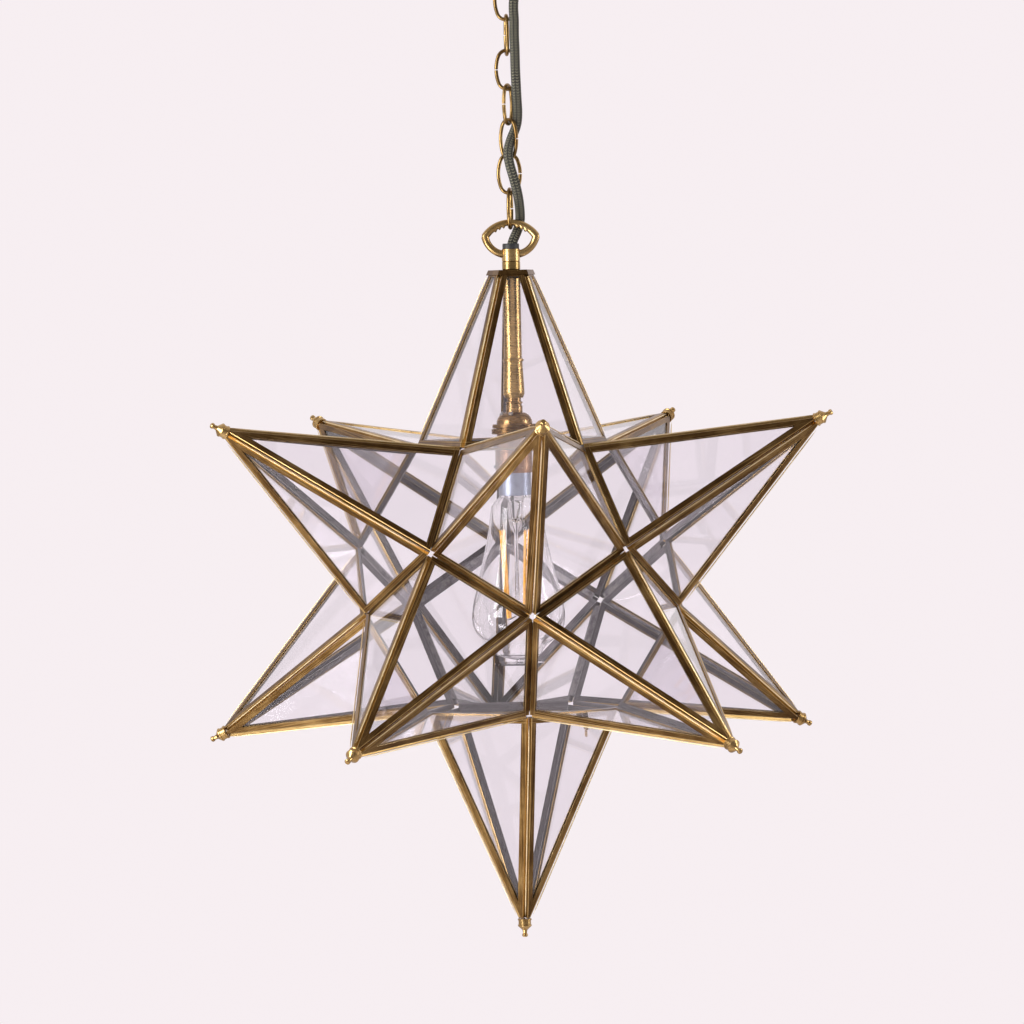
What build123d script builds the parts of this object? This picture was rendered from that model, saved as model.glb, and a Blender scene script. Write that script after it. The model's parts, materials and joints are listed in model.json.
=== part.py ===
"""Moravian star pendant: twelve glazed brass points round a pentagon-faced core, on a stem, loop and chain.

+Z is up, -Y is the front, and the origin is where the ceiling plate's middle meets the ceiling.
Heights named *_rise are measured upwards from the star's centre. Lengths are millimetres.
"""
from build123d import *
import os
from math import acos, asin, atan2, cos, degrees, hypot, pi, radians, sin, sqrt, tan

os.makedirs("parts", exist_ok=True)

# ---- Clearances ----
seat_gap = 0.05        # between fixed pieces that are soldered, screwed or pressed together
link_gap = 0.3         # between one link of the chain and the next
pin_gap = 0.05         # radial, between the hinge pin and the door's knuckle
door_gap = 0.6         # between the door's foot and the opening that it closes

# ---- Star ----
core_edge = 82.0       # edge of the dodecahedral core, which is the foot of every pane
point_reach = 244.0    # from the star's centre to the apex at which a point's panes would meet
came_face = 3.9        # width of the brass channel seen on each pane
came_thick = 3.2       # thickness of the channel across the pane
came_wall = 0.6        # wall of the channel
came_edge = 0.3        # chamfer along the channel's outer edges
glass_thick = 2.0      # pane
glass_play = 0.15      # between the pane's edge and the channel's web
seam_depth = 2.6       # solder in the inside of each valley
seam_short = 6.0       # solder stops this far from a corner of the core

# ---- Finials ----
finial_seat = 233.3    # from the star's centre to the underside of a finial
finial_cap_radius = 4.75
finial_cap_height = 5.4
finial_ring = 1.1      # height of the two rings round the cap
finial_waist_radius = 4.3
finial_cone_height = 2.6
finial_neck_radius = 1.35
finial_neck_height = 2.4
finial_knob_radius = 1.95
finial_knob_height = 2.2

# ---- Door hinge and catch ----
knuckle_radius = 1.5
hinge_pin_radius = 0.8
hinge_half_length = 33.0
door_knuckle_half_length = 16.0
knuckle_end_gap = 0.2
pin_head_radius = 1.4
pin_head_height = 0.8
catch_wire_radius = 0.7
catch_play = 0.25      # between the sprung wire and the open clip that it snaps into
catch_clip_span = (-11.0, 24.0)
catch_tube_span = (-26.0, -12.0)
pull_width = 6.5
pull_thick = 0.8
pull_drop = 13.0
pull_tail = 5.0
pull_tail_radius = 0.9

# ---- Crown cap and stem ----
crown_drop = 34.0      # from the point's apex down to the cap's top face
crown_skirt = 3.4
crown_sheet = 0.9
crown_wall = 0.5
crown_play = 0.1
stem_radius = 6.0
stem_bore = 4.5
stem_foot_rise = 122.6
collar_radius = 6.2
sleeve_top_radius = 6.3
sleeve_foot_radius = 7.3
sleeve_top_rise = 147.3
sleeve_foot_rise = 125.4
sleeve_mouth_radius = 6.2
bead_radius = 7.2
bead_height = 2.1

# ---- Hanging loop ----
loop_height = 28.4       # from the barrel's foot to the top of the bar
loop_bar_half_height = 2.1
loop_bar_half_width = 1.9
loop_corner_reach = 17.6
loop_corner_height = 17.2
loop_arm_bulge = (14.9, 11.2)  # sideways, and up from the barrel's foot
loop_arm_foot = (5.2, 5.4)
loop_arm_radius = 1.9
loop_scallops = (5.4, 8.4, 11.4)
scallop_radius = 1.25
barrel_radius = 6.2
barrel_height = 8.2
collar_height = 5.9      # between the stem's top and the barrel, with both close gaps
spigot_length = 16.0
grommet_radius = 5.7
grommet_height = 3.8
grommet_shank_radius = 4.5
grommet_shank_length = 4.0
grommet_mouth_radius = 5.0  # the bore flares to this where the cord leaves at a slant

# ---- Chain ----
link_length = 28.9
link_width = 17.4
link_wire_radius = 1.25
link_end_radius = 6.2  # round of the wire's centre line at the two ends of the oval
link_joint_gap = 0.6   # the open butt joint in the side of each link
link_turns = (-360.0, -270.0, -180.0, -116.0, -49.0, 0.0, 77.0)  # twist of each link from the top

# ---- Ceiling fitting ----
rose_radius = 50.0
rose_depth = 42.0
rose_wall = 1.2
rose_rim = 4.0
plate_length = 86.0
plate_width = 18.0
plate_thick = 2.5
plate_hole_spacing = 66.0
plate_hole_radius = 2.4
boss_radius = 5.0
boss_length = 11.5
hook_wire_radius = 2.0
hook_bend_radius = 10.0
hook_turn_in = 50.0    # degrees at which the shank's bend runs into the hook's round
hook_turn_out = 200.0  # degrees round the hook past level, to its tip
ferrule_radius = 6.0
ferrule_height = 4.0
hook_show = 1.0        # straight shank seen under the ferrule
nut_radius = 4.6
nut_height = 3.0
bush_place = (15.0, -5.0)
bush_flange_radius = 6.6
bush_flange_height = 2.0
bush_nozzle_radius = 5.0
bush_nozzle_length = 8.0
bush_thread_radius = 4.6
bush_thread_length = 7.0
bush_nut_height = 2.5
block_size = (18.0, 16.0, 12.0)
block_offset = -18.0
block_entry_spacing = 6.0
core_wire_radius = 1.1

# ---- Flexible cord ----
flex_radius = 3.3
flex_play = 0.1        # between the cord and the holes that it runs through
flex_end_rise = 99.0
flex_free_height = 3.0   # above the barrel's foot, where the straight stretch in the stem ends
flex_bush_lead = 7.5    # straight stretch under the bush
# Points between the grommet and the bush: sideways, backwards and up from the barrel's top.
flex_route = (
    (0.0, 0.0, 2.8),
    (5.6, 5.9, 13.3),
    (7.3, 5.9, 19.3),
    (7.2, 3.7, 24.8),
    (6.4, -0.6, 31.3),
    (4.8, -5.9, 38.8),
    (2.4, -8.9, 47.8),
    (-0.2, -9.0, 56.8),
    (-1.4, -6.2, 65.8),
    (1.3, -1.6, 74.8),
    (5.8, 0.7, 83.8),
    (6.7, 0.1, 92.8),
    (6.0, -2.6, 101.8),
    (5.5, -5.3, 110.8),
    (5.1, -6.4, 119.8),
    (5.0, -6.6, 128.8),
    (5.0, -6.3, 137.8),
    (4.8, -5.9, 146.8),
    (5.1, -5.6, 155.8),
    (4.6, -5.3, 164.8),
    (5.6, -5.1, 173.8),
    (8.4, -4.9, 182.8),
    (12.0, -4.9, 190.8),
)

# ---- Lampholder ----
holder_neck_radius = 4.75
holder_bead_radius = 5.9
holder_bead_rise = 119.4
holder_groove_radius = 5.2
holder_collar_radius = 5.7
holder_collar_rise = 117.2
dome_top_rise = 112.8
dome_shoulder = (9.7, 110.9)
dome_foot_rise = 104.9
dome_wall = 1.2
skirt_radius = 12.2
skirt_bore = 11.35
skirt_top_rise = 104.8
skirt_foot_rise = 72.3
slot_width = 2.6
slot_depth = 6.2
slot_turn = 24.0       # degrees round the skirt of the slot's locking arm
upper_ring_radius = 15.2
upper_ring_rise = 102.2
upper_ring_height = 2.5
lower_ring_radius = 15.8
lower_ring_rise = 98.0
lower_ring_height = 3.8
insulator_foot_rise = 86.0
insulator_top_rise = 104.0
screw_radius = 1.7
screw_height = 2.0
screw_azimuths = (-20.0, -78.0)
plunger_radius = 1.9
plunger_length = 9.6
plunger_spacing = 8.4
plunger_play = 0.1
spring_wire_radius = 0.25
spring_radius = 1.45
spring_turns = 5

# ---- Lamp ----
cap_radius = 11.0
cap_wall = 0.4
cap_foot_rise = 57.0
cap_top_rise = 80.0
vitrite_radius = 8.6
vitrite_height = 2.6
contact_radius = 2.3
contact_height = 0.7
lamp_pin_radius = 1.0
lamp_pin_reach = 13.4
lamp_pin_rise = 75.4
bulb_wall = 0.8
bulb_steps = 40
# Radius and height of points down the bulb, which a smooth line joins.
bulb_outline = (
    (10.0, 60.0),
    (10.1, 57.6),
    (10.9, 55.6),
    (15.0, 52.4),
    (17.0, 46.0),
    (21.7, 19.0),
    (28.4, -8.3),
    (31.9, -26.0),
    (26.4, -41.0),
    (17.4, -48.0),
    (8.2, -54.6),
    (4.4, -57.3),
    (0.0, -58.5),
)
mount_radius = 5.4
mount_foot_rise = 33.0
mount_rod_radius = 1.4
mount_rod_foot_rise = -26.0
filament_radius = 1.0
filament_azimuths = (-82.0, -133.0, 32.0, 116.0)
filament_top = (10.6, 33.0)
filament_foot = (7.2, -28.0)
lead_radius = 0.35
lead_drop = 0.95       # from a filament's end to the lead that holds it

# ---- Worked out from the sizes above ----
core_reach = core_edge / 2 * sqrt(2.5 + 1.1 * sqrt(5))        # centre to a face of the core
foot_reach = core_edge / (2 * tan(radians(36)))               # a face's middle to its edge
corner_reach = core_edge / (2 * sin(radians(36)))             # a face's middle to its corner
point_height = point_reach - core_reach
slant = hypot(point_height, foot_reach)
foot_angle = atan2(slant, core_edge / 2)
fold = acos((point_height**2 * cos(radians(72)) + foot_reach**2) / slant**2)
ridge_inset = came_thick * tan(fold / 2) + seat_gap           # where the channels' inner corners meet
core_fold = acos(-1 / sqrt(5))                                # dihedral angle of the core
valley_half = pi - core_fold / 2 - atan2(point_height, foot_reach)  # half the outside angle of a valley
knuckle_offset = (knuckle_radius + 2 * seat_gap) / sin(valley_half)

crown_rise = point_reach - crown_drop
stem_top_rise = crown_rise + 2 * seat_gap
barrel_foot_rise = stem_top_rise + collar_height
barrel_top_rise = barrel_foot_rise + barrel_height
loop_top_rise = barrel_foot_rise + loop_height
loop_corner_rise = barrel_foot_rise + loop_corner_height

link_half = link_width / 2 - link_wire_radius
link_end_centre = link_length / 2 - link_wire_radius - link_end_radius
link_side_radius = (link_end_centre**2 + link_half**2 - link_end_radius**2) / (
    2 * (link_half - link_end_radius)
)
link_side_centre = link_side_radius - link_half
link_inside = link_length - 4 * link_wire_radius
link_pitch = link_inside - link_gap
hook_lead = hook_bend_radius * cos(radians(hook_turn_in)) / (1 - cos(radians(hook_turn_in)))
hook_rise = (hook_bend_radius + hook_lead) * sin(radians(hook_turn_in))
hook_z = -(rose_depth + ferrule_height + hook_show + hook_rise)
first_link_z = hook_z - hook_bend_radius + hook_wire_radius + link_gap - link_inside / 2
last_link_z = first_link_z - link_pitch * (len(link_turns) - 1)
loop_top_z = last_link_z - link_inside / 2 + link_gap + 2 * loop_bar_half_height
star_z = loop_top_z - loop_top_rise
bush_foot_z = -rose_depth - bush_flange_height - bush_nozzle_length


def save(name, pieces):
    """Write the separate solids of one sub-part to its file."""
    solids = [solid for piece in pieces for solid in piece.solids()]
    shape = solids[0] if len(solids) == 1 else Compound(children=solids)
    shape.label = name
    export_step(shape, f"parts/{name}.step")


def hung(pieces):
    """Move pieces drawn round the star's centre to where the star hangs."""
    return [Pos(0, 0, star_z) * piece for piece in pieces]


def turned(points):
    """Revolve an outline of (radius, height) points about the Z axis."""
    outline = Polygon(*points, align=None)
    return revolve(Plane.XZ * outline, Axis.Z)


def rod(radius, start, end):
    """A round bar between two points."""
    start, end = Vector(*start), Vector(*end)
    return extrude(Plane(origin=start, z_dir=end - start) * Circle(radius), amount=(end - start).length)


def tube(outer, bore, foot, top):
    """An upright tube between two heights."""
    return Pos(0, 0, foot) * extrude(Circle(outer) - Circle(bore), amount=top - foot)


def toward(azimuth, rise=0.0):
    """Unit vector at an azimuth from the front towards +X, with the given share of it upwards."""
    level = sqrt(1 - rise**2)
    return Vector(level * sin(radians(azimuth)), -level * cos(radians(azimuth)), rise)


# ---- The star's points and panes ----
point_rise = 1 / sqrt(5)
top_axis = Vector(0, 0, 1)
door_axis = Vector(0, 0, -1)
upper_axes = [toward(72 * k, point_rise) for k in range(5)]
lower_axes = [toward(36 + 72 * k, -point_rise) for k in range(5)]
all_axes = [top_axis, *upper_axes, *lower_axes, door_axis]


def neighbours(axis):
    """The five points next to a point."""
    return [other for other in all_axes if abs(axis.dot(other) - point_rise) < 0.01]


def pane_corners(inset, foot_gap, crown):
    """Corners of a pane in its own plane, with each side moved in by inset and the apex cut at crown."""
    side, foot, top = ridge_inset + inset, foot_gap + inset, crown - inset

    def half_width(up):
        return core_edge / 2 - (side + up * cos(foot_angle)) / sin(foot_angle)

    apex = (core_edge / 2 * sin(foot_angle) - side) / cos(foot_angle)
    corners = [(-half_width(foot), foot), (half_width(foot), foot)]
    if apex <= top:
        return [*corners, (0, apex)]
    return [*corners, (half_width(top), top), (-half_width(top), top)]


def slab(inset, foot_gap, crown, near, far):
    """A plate with a pane's outline, between two depths under the pane's outer face."""
    outline = Polygon(*pane_corners(inset, foot_gap, crown), align=None)
    return Pos(0, 0, -far) * extrude(outline, amount=far - near)


def make_pane(foot_gap, crown):
    """The brass channel round one pane, and its glass."""
    glass_near = (came_thick - glass_thick) / 2
    body = slab(0, foot_gap, crown, 0, came_thick)
    body = chamfer(body.faces().sort_by(Axis.Z)[-1].edges(), came_edge)
    body -= slab(came_face, foot_gap, crown, -1, came_thick + 1)
    body -= slab(came_wall, foot_gap, crown, glass_near - seat_gap, came_thick - glass_near + seat_gap)
    glass = slab(came_wall + glass_play, foot_gap, crown, glass_near, came_thick - glass_near)
    return body, glass


def pane_plane(axis, neighbour):
    """The plane of the pane that faces a neighbouring point: X along its foot, Y up its slope, Z out."""
    across = (neighbour - axis * axis.dot(neighbour)).normalized()
    foot_middle = axis * core_reach + across * foot_reach
    outward = (across * point_height + axis * foot_reach).normalized()
    return Plane(origin=foot_middle, x_dir=axis.cross(across), z_dir=outward)


def make_point(axis, pane):
    """One point's five channels or panes, set round its axis."""
    return [pane_plane(axis, other) * pane for other in neighbours(axis)]


def slope_at(reach):
    """How far up a pane's slope its outer face comes to a given distance along the point's axis."""
    return slant * (reach - core_reach) / point_height


came, glass = make_pane(seat_gap, slope_at(finial_seat - seat_gap))
door_came, door_glass = make_pane(door_gap, slope_at(finial_seat - seat_gap))
crown_under = crown_rise - crown_sheet - seat_gap
top_came, top_glass = make_pane(seat_gap, slope_at(crown_under))

save("frame_top", hung(make_point(top_axis, top_came)))
save("glass_top", hung(make_point(top_axis, top_glass)))
save("frame_door", hung(make_point(door_axis, door_came)))
save("glass_door", hung(make_point(door_axis, door_glass)))
for ring, axes in (("upper", upper_axes), ("lower", lower_axes)):
    for number, axis in enumerate(axes, start=1):
        save(f"frame_{ring}_{number}", hung(make_point(axis, came)))
    save(f"glass_{ring}", hung([pane for axis in axes for pane in make_point(axis, glass)]))


# ---- Solder in the valleys ----
def valley(axis, other):
    """A valley between two points: its middle, its outward direction and the direction along it."""
    middle = (axis + other).normalized()
    reach = sqrt(core_reach**2 + foot_reach**2)
    return middle * reach, middle, axis.cross(other).normalized()


def make_seam(axis, other):
    """The solder that fills the inside of one valley."""
    middle, outward, along = valley(axis, other)
    spread = tan(pi / 2 - valley_half)
    start = middle - outward * 2 * seat_gap
    wedge = Polygon((0, 0), (seam_depth, seam_depth * spread), (seam_depth, -seam_depth * spread), align=None)
    half = core_edge / 2 - seam_short
    section = Plane(origin=start, x_dir=-outward, z_dir=along) * wedge
    return extrude(section, amount=half, both=True)


fixed_axes = [top_axis, *upper_axes, *lower_axes]
seams = [
    make_seam(axis, other)
    for index, axis in enumerate(fixed_axes)
    for other in fixed_axes[index + 1 :]
    if abs(axis.dot(other) - point_rise) < 0.01
]
save("valley_solder", hung(seams))


# ---- Finials ----
def make_finial():
    """Turned end of a point, drawn up the Z axis from its seat."""
    cap_top = finial_cap_height
    cone_top = cap_top + finial_cone_height
    neck_top = cone_top + finial_neck_height
    knob_top = neck_top + finial_knob_height
    ease = 0.3
    return turned(
        [
            (0, 0),
            (finial_cap_radius - ease, 0),
            (finial_cap_radius, ease),
            (finial_cap_radius, finial_ring),
            (finial_waist_radius, finial_ring + ease),
            (finial_waist_radius, cap_top - finial_ring - ease),
            (finial_cap_radius, cap_top - finial_ring),
            (finial_cap_radius, cap_top - ease),
            (finial_cap_radius - ease, cap_top),
            (finial_neck_radius + ease, cone_top),
            (finial_neck_radius, neck_top - ease),
            (finial_knob_radius, neck_top + ease),
            (finial_knob_radius, knob_top - 2 * ease),
            (finial_knob_radius - 2 * ease, knob_top),
            (0, knob_top),
        ]
    )


def on_point(axis, piece):
    """Set a piece drawn up the Z axis on the end of a point."""
    return Plane(origin=axis * finial_seat, z_dir=axis) * piece


save("star_finials", hung([on_point(axis, make_finial()) for axis in upper_axes + lower_axes]))
save("door_finial", hung([on_point(door_axis, make_finial())]))


# ---- Door hinge and catch ----
def valley_line(other, where):
    """A point on the line of a hinge or catch outside the valley between the door and a lower point."""
    middle, outward, along = valley(door_axis, other)
    return middle + outward * knuckle_offset + along * where


def knuckle(other, bore, start, end):
    """A short brass tube lying in the outside of one of the door's valleys."""
    start, end = valley_line(other, start), valley_line(other, end)
    ring = Circle(knuckle_radius) - Circle(bore)
    return extrude(Plane(origin=start, z_dir=end - start) * ring, amount=(end - start).length)


hinge_side = lower_axes[3]
catch_side = lower_axes[1]
fixed_start = door_knuckle_half_length + knuckle_end_gap
fixed_bore = hinge_pin_radius + seat_gap
fixed_tubes = [
    knuckle(hinge_side, fixed_bore, -hinge_half_length, -fixed_start),
    knuckle(hinge_side, fixed_bore, fixed_start, hinge_half_length),
]
door_knuckle_bore = hinge_pin_radius + pin_gap
door_knuckle = knuckle(hinge_side, door_knuckle_bore, -door_knuckle_half_length, door_knuckle_half_length)
pin_end = hinge_half_length + 2 * seat_gap
hinge_pin = rod(hinge_pin_radius, valley_line(hinge_side, -pin_end), valley_line(hinge_side, pin_end))
for side in (-1, 1):
    hinge_pin += rod(
        pin_head_radius,
        valley_line(hinge_side, side * pin_end),
        valley_line(hinge_side, side * (pin_end + pin_head_height)),
    )
save("hinge_pin", hung([hinge_pin]))

clip_bore = catch_wire_radius + catch_play
clip = knuckle(catch_side, clip_bore, *catch_clip_span)
clip_middle = valley_line(catch_side, sum(catch_clip_span) / 2)
clip_along = valley(door_axis, catch_side)[2]
mouth = Box(
    catch_clip_span[1] - catch_clip_span[0] + 2,
    2 * clip_bore,
    2 * knuckle_radius,
    align=(Align.CENTER, Align.CENTER, Align.MAX),
)
clip -= Plane(origin=clip_middle, x_dir=clip_along, z_dir=(0, 0, 1)) * mouth
save("star_knuckles", hung([*fixed_tubes, clip]))

catch_tube = knuckle(catch_side, catch_wire_radius + seat_gap, *catch_tube_span)
catch_wire = rod(
    catch_wire_radius,
    valley_line(catch_side, catch_tube_span[0] - 1),
    valley_line(catch_side, catch_clip_span[1] - 1),
)
pull_top = valley_line(catch_side, sum(catch_tube_span) / 2)
pull = Plane(origin=pull_top - Vector(0, 0, knuckle_radius), x_dir=clip_along, z_dir=(0, 0, -1)) * Box(
    pull_width, pull_thick, pull_drop, align=(Align.CENTER, Align.CENTER, Align.MIN)
)
tail_start = pull_top - Vector(0, 0, knuckle_radius + pull_drop - 1)
pull += rod(pull_tail_radius, tail_start, tail_start - Vector(0, 0, pull_tail + 1))
save("door_knuckles", hung([door_knuckle, catch_tube]))
save("door_catch", hung([catch_wire, pull]))


# ---- Crown cap, stem and its turned fittings ----
def pentagon(radius):
    """A pentagon with its corners over the star's top ridges."""
    return RegularPolygon(radius, 5, rotation=18)


def frustum(foot_radius, top_radius, foot, top):
    """A pentagonal block between two heights."""
    return loft([Pos(0, 0, foot) * pentagon(foot_radius), Pos(0, 0, top) * pentagon(top_radius)], ruled=True)


crown_foot = crown_rise - crown_skirt
inner_foot = (crown_drop + crown_skirt) * corner_reach / point_height + crown_play
inner_top = (crown_drop + crown_sheet) * corner_reach / point_height + crown_play
outer_foot = inner_foot + crown_wall / cos(radians(36))
outer_top = outer_foot - crown_skirt * corner_reach / point_height
crown = frustum(outer_foot, outer_top, crown_foot, crown_rise)
crown -= frustum(inner_foot, inner_top, crown_foot, crown_rise - crown_sheet)
crown -= Pos(0, 0, crown_foot) * Cylinder(stem_radius + seat_gap, 3 * crown_skirt)
save("crown_cap", hung([crown]))

save("stem_tube", hung([tube(stem_radius, stem_bore, stem_foot_rise, stem_top_rise)]))

collar_foot = stem_top_rise + seat_gap
collar_top = barrel_foot_rise - seat_gap
collar_round = 0.5
save(
    "stem_collar",
    hung(
        [
            turned(
                [
                    (stem_bore, collar_foot),
                    (collar_radius - collar_round, collar_foot),
                    (collar_radius, collar_foot + collar_round),
                    (collar_radius, collar_top - collar_round),
                    (collar_radius - collar_round, collar_top),
                    (stem_bore, collar_top),
                ]
            )
        ]
    ),
)

bead_top = sleeve_top_rise + bead_height
bead_ease = 0.6
sleeve_bore = stem_radius + seat_gap
save(
    "stem_sleeve",
    hung(
        [
            turned(
                [
                    (sleeve_bore, stem_foot_rise),
                    (sleeve_mouth_radius, stem_foot_rise),
                    (sleeve_foot_radius, sleeve_foot_rise),
                    (sleeve_foot_radius - 0.2, sleeve_foot_rise + 6),
                    (sleeve_top_radius, sleeve_top_rise),
                    (bead_radius - bead_ease, sleeve_top_rise),
                    (bead_radius, sleeve_top_rise + bead_ease),
                    (bead_radius, bead_top - bead_ease),
                    (bead_radius - bead_ease, bead_top),
                    (sleeve_bore, bead_top),
                ]
            )
        ]
    ),
)


# ---- Hanging loop and grommet ----
def swept(section_radii, start, middle, end):
    """A bar of elliptic section along an arc in the XZ plane."""
    start, middle, end = (Vector(x, 0, z) for x, z in (start, middle, end))
    path = Edge.make_three_point_arc(start, middle, end)
    section = Plane(origin=start, x_dir=(0, 1, 0), z_dir=path % 0) * Ellipse(*section_radii)
    return sweep(section, path=path)


flex_hole = flex_radius + flex_play
loop_bar_rise = loop_top_rise - loop_bar_half_height
loop = swept(
    (loop_bar_half_width, loop_bar_half_height),
    (-loop_corner_reach, loop_corner_rise),
    (0, loop_bar_rise),
    (loop_corner_reach, loop_corner_rise),
)
bar_radius = (loop_corner_reach**2 + (loop_bar_rise - loop_corner_rise) ** 2) / (
    2 * (loop_bar_rise - loop_corner_rise)
)
for side in (-1, 1):
    corner = (side * loop_corner_reach, loop_corner_rise)
    bulge = (side * loop_arm_bulge[0], barrel_foot_rise + loop_arm_bulge[1])
    foot = (side * loop_arm_foot[0], barrel_foot_rise + loop_arm_foot[1])
    loop += swept((loop_arm_radius, loop_arm_radius), corner, bulge, foot)
    loop += Pos(corner[0], 0, corner[1]) * Sphere(loop_bar_half_height)
    for across in loop_scallops:
        under = sqrt(bar_radius**2 - across**2) - bar_radius + loop_bar_rise - loop_bar_half_height
        cutter = Rot(90, 0, 0) * Cylinder(scallop_radius, 6 * loop_bar_half_width)
        loop -= Pos(side * across, 0, under) * cutter
loop += Pos(0, 0, barrel_foot_rise) * extrude(Circle(barrel_radius), amount=barrel_height)
loop += Pos(0, 0, barrel_foot_rise - spigot_length) * extrude(
    Circle(stem_bore - seat_gap), amount=spigot_length
)
loop -= Pos(0, 0, barrel_foot_rise) * Cylinder(flex_hole, 2 * (spigot_length + 1))
grommet_foot = barrel_top_rise - grommet_shank_length
loop -= Pos(0, 0, grommet_foot - seat_gap) * extrude(
    Circle(grommet_shank_radius + seat_gap), amount=grommet_shank_length + 1
)
save("hanging_loop", hung([loop]))

grommet_top = barrel_top_rise + grommet_height
grommet_ease = 0.7
grommet_seat = barrel_top_rise + seat_gap
save(
    "cord_grommet",
    hung(
        [
            turned(
                [
                    (flex_hole, grommet_foot),
                    (grommet_shank_radius, grommet_foot),
                    (grommet_shank_radius, grommet_seat),
                    (grommet_radius, grommet_seat),
                    (grommet_radius, grommet_top - grommet_ease),
                    (grommet_radius - grommet_ease / 2, grommet_top),
                    (grommet_mouth_radius, grommet_top),
                    (flex_hole + 0.5, barrel_top_rise),
                    (flex_hole, grommet_foot + 1.5),
                ]
            )
        ]
    ),
)


# ---- Lampholder ----
bead_half = 0.8
neck_top = stem_foot_rise - seat_gap
dome_path = Polyline(
    (flex_hole, neck_top + 5.4),
    (stem_bore - seat_gap, neck_top + 5.4),
    (stem_bore - seat_gap, neck_top),
    (holder_neck_radius, neck_top),
    (holder_neck_radius, holder_bead_rise + bead_half),
    (holder_bead_radius, holder_bead_rise + bead_half / 2),
    (holder_bead_radius, holder_bead_rise - bead_half / 2),
    (holder_groove_radius, holder_bead_rise - bead_half),
    (holder_groove_radius, holder_collar_rise + seat_gap),
    (holder_collar_radius, holder_collar_rise),
    (holder_collar_radius, dome_top_rise),
)
dome_arc = ThreePointArc((holder_collar_radius, dome_top_rise), dome_shoulder, (skirt_radius, dome_foot_rise))
dome_inside = Polyline(
    (skirt_radius, dome_foot_rise),
    (skirt_radius - dome_wall, dome_foot_rise),
    (dome_shoulder[0] - 2.4 * dome_wall, dome_shoulder[1] - dome_wall),
    (flex_hole, dome_shoulder[1] - dome_wall),
    (flex_hole, neck_top + 5.4),
)
dome = revolve(Plane.XZ * make_face(dome_path.edges() + dome_arc.edges() + dome_inside.edges()), Axis.Z)
screws = []
for azimuth in screw_azimuths:
    out = toward(azimuth, sin(radians(45)))
    seat = toward(azimuth) * 8.3 + Vector(0, 0, dome_top_rise - 1.6)
    dome -= rod(screw_radius + seat_gap, seat - out * 0.5, seat + out * 6)
    head = rod(screw_radius, seat - out * 0.45, seat + out * (screw_height - 0.45))
    slot_cut = Plane(origin=seat + out * (screw_height - 0.45), z_dir=out) * Box(8, 0.5, 1.2)
    screws.append(head - slot_cut)
save("holder_dome", hung([dome]))
save("holder_screws", hung(screws))


def thread_ring(radius, foot, height):
    """A shade ring with three fine ribs round its rim, screwed on the skirt."""
    ease = height / 7
    bore = skirt_radius + seat_gap
    points = [(bore, foot), (radius - ease, foot)]
    for rib in range(3):
        low = foot + ease + rib * 2 * ease
        points += [(radius, low), (radius, low + ease), (radius - ease, low + 1.5 * ease)]
    points += [(radius - ease, foot + height), (bore, foot + height)]
    return turned(points)


upper_ring = thread_ring(upper_ring_radius, upper_ring_rise, upper_ring_height)
lower_ring = thread_ring(lower_ring_radius, lower_ring_rise, lower_ring_height)
save("shade_rings", hung([upper_ring, lower_ring]))

skirt = tube(skirt_radius, skirt_bore, skirt_foot_rise, skirt_top_rise)
for side in (0, 180):
    slot = Pos(skirt_radius, 0, skirt_foot_rise - 1) * Box(
        8, slot_width, slot_depth + 1, align=(Align.CENTER, Align.CENTER, Align.MIN)
    )
    arm_foot = skirt_foot_rise + slot_depth - slot_width
    arm_face = make_face(
        Polyline(
            (0, 0),
            (2 * skirt_radius, 0),
            (2 * skirt_radius * cos(radians(slot_turn)), 2 * skirt_radius * sin(radians(slot_turn))),
            (0, 0),
        ).edges()
    )
    arm = Pos(0, 0, arm_foot) * extrude(arm_face, amount=slot_width)
    arm -= Pos(0, 0, arm_foot) * Cylinder(skirt_bore - 1, 4 * slot_width)
    skirt -= Rot(0, 0, side) * (slot + arm)
save("holder_skirt", hung([skirt]))

insulator = Pos(0, 0, insulator_foot_rise) * extrude(
    Circle(skirt_bore - 2 * seat_gap), amount=insulator_top_rise - insulator_foot_rise
)
insulator -= Pos(0, 0, flex_end_rise - seat_gap) * extrude(Circle(flex_hole), amount=20)
contact_rise = cap_top_rise + vitrite_height + contact_height
plunger_foot = contact_rise + 2 * seat_gap
plunger_top = plunger_foot + plunger_length
spring_top = plunger_top + 4.4
plungers, springs = [], []
for side in (-1, 1):
    across = side * plunger_spacing / 2
    insulator -= Pos(across, 0, insulator_foot_rise - 1) * extrude(
        Circle(plunger_radius + plunger_play), amount=spring_top + seat_gap - insulator_foot_rise + 1
    )
    pin = Pos(across, 0, plunger_foot) * extrude(Circle(plunger_radius), amount=plunger_length)
    plungers.append(fillet(pin.edges().sort_by(Axis.Z)[0], 0.6))
    spring_low = plunger_top + seat_gap + spring_wire_radius
    rise = spring_top - 2 * spring_wire_radius - plunger_top - 2 * seat_gap
    coil = Helix(pitch=rise / spring_turns, height=rise, radius=spring_radius, center=(across, 0, spring_low))
    section = Plane(origin=coil @ 0, z_dir=coil % 0) * Circle(spring_wire_radius)
    springs.append(sweep(section, path=coil))
save("holder_insulator", hung([insulator]))
save("contact_plungers", hung(plungers))
save("plunger_springs", hung(springs))


# ---- Lamp ----
cap_top = cap_top_rise
cap = turned(
    [
        (cap_radius - cap_wall, cap_foot_rise),
        (cap_radius, cap_foot_rise),
        (cap_radius, cap_top - 2.2),
        (vitrite_radius + 0.6, cap_top - seat_gap),
        (vitrite_radius, cap_top - seat_gap),
        (cap_radius - cap_wall, cap_top - 2.4),
    ]
)
for side in (-1, 1):
    cap += rod(
        lamp_pin_radius,
        (side * (cap_radius - cap_wall / 2), 0, lamp_pin_rise),
        (side * lamp_pin_reach, 0, lamp_pin_rise),
    )
save("lamp_cap", hung([cap]))

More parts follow.
